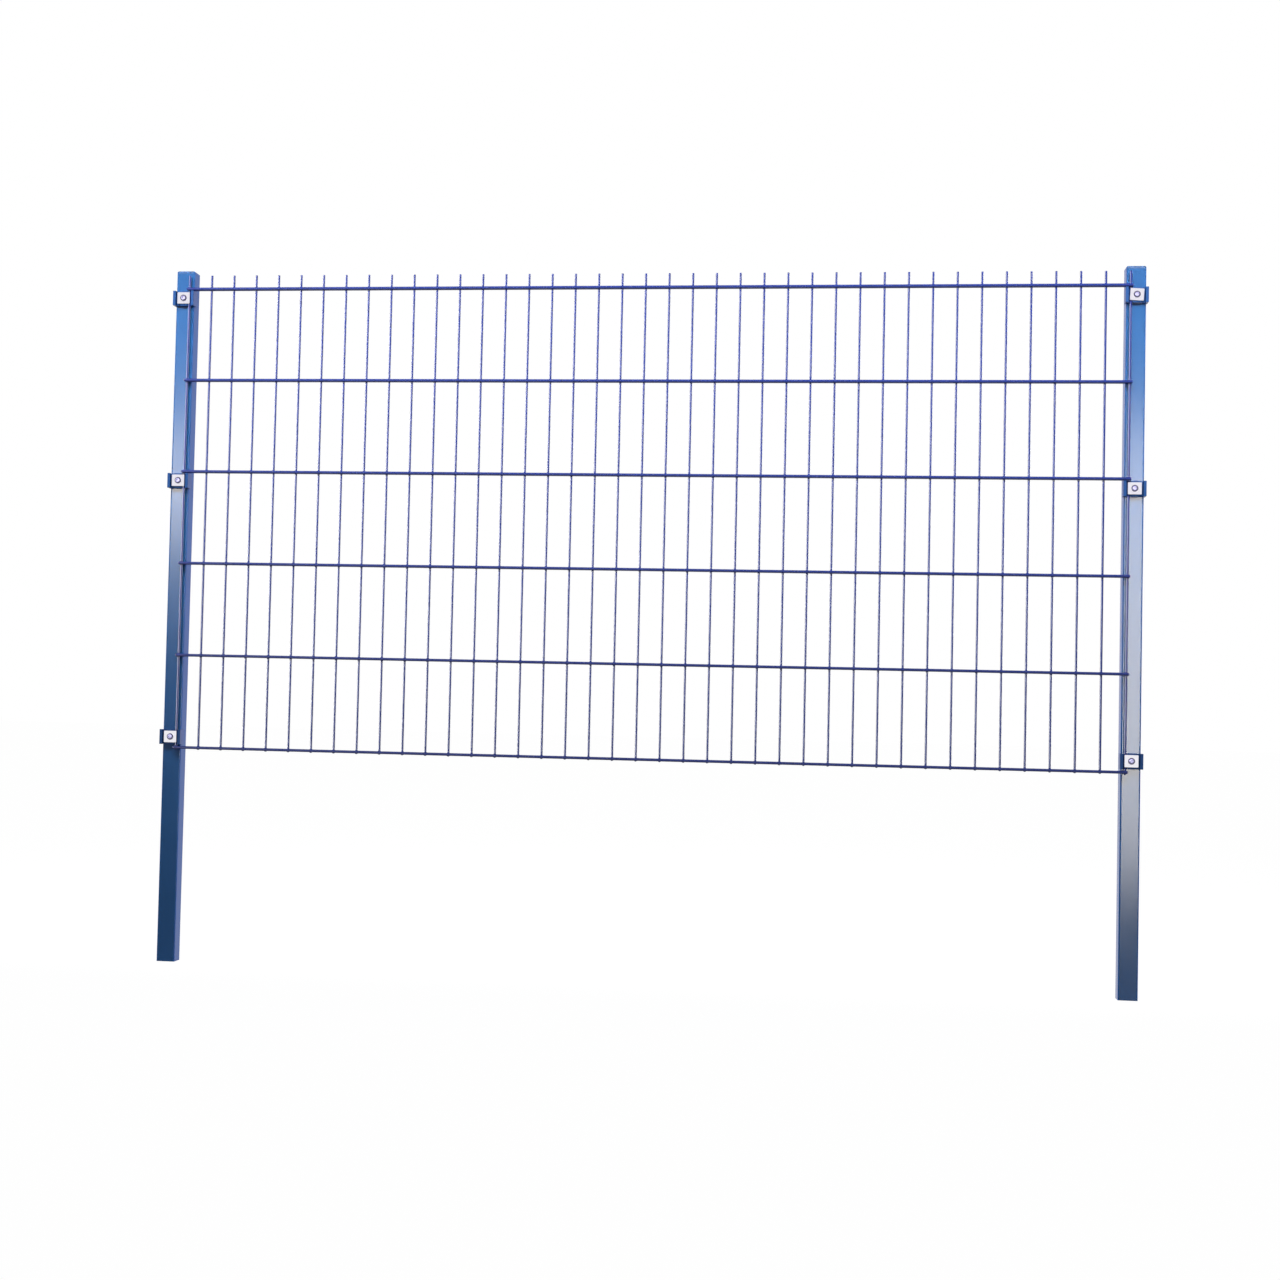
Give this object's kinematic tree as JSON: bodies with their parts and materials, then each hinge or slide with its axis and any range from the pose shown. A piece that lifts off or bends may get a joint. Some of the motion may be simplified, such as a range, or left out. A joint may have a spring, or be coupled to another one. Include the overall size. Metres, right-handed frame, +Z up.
{
  "type": "welded mesh fence panel",
  "caption": "Bay of double-bar welded mesh fencing: round wires clamped to the front of capped square posts.",
  "frame": {"origin": "middle of the left post's foot", "axes": "+X along the fence to the right post, +Y away from the side that carries the mesh, +Z up the posts"},
  "size_m": [2.0702, 0.0579, 1.505],
  "materials": {
    "post_coating": "glossy blue powder coat on steel tube",
    "cap_plastic": "moulded blue plastic",
    "wire_coating": "dark blue powder coat on steel wire",
    "bracket_plastic": "moulded blue plastic",
    "zinc_plate": "bright zinc plate",
    "bolt_steel": "stainless steel",
    "nut_steel": "plain zinc-plated steel"
  },
  "bodies": {
    "root": {"left_post": "post_coating", "right_post": "post_coating", "left_cap": "cap_plastic", "right_cap": "cap_plastic", "mesh_wires": "wire_coating", "front_bar_1": "wire_coating", "front_bar_2": "wire_coating", "front_bar_3": "wire_coating", "front_bar_4": "wire_coating", "front_bar_5": "wire_coating", "front_bar_6": "wire_coating", "left_upper_bracket": "bracket_plastic", "left_upper_plate": "zinc_plate", "left_upper_bolt": "bolt_steel", "left_upper_nut": "nut_steel", "left_middle_bracket": "bracket_plastic", "left_middle_plate": "zinc_plate", "left_middle_bolt": "bolt_steel", "left_middle_nut": "nut_steel", "left_lower_bracket": "bracket_plastic", "left_lower_plate": "zinc_plate", "left_lower_bolt": "bolt_steel", "left_lower_nut": "nut_steel", "right_upper_bracket": "bracket_plastic", "right_upper_plate": "zinc_plate", "right_upper_bolt": "bolt_steel", "right_upper_nut": "nut_steel", "right_middle_bracket": "bracket_plastic", "right_middle_plate": "zinc_plate", "right_middle_bolt": "bolt_steel", "right_middle_nut": "nut_steel", "right_lower_bracket": "bracket_plastic", "right_lower_plate": "zinc_plate", "right_lower_bolt": "bolt_steel", "right_lower_nut": "nut_steel"}
  },
  "joints": []
}
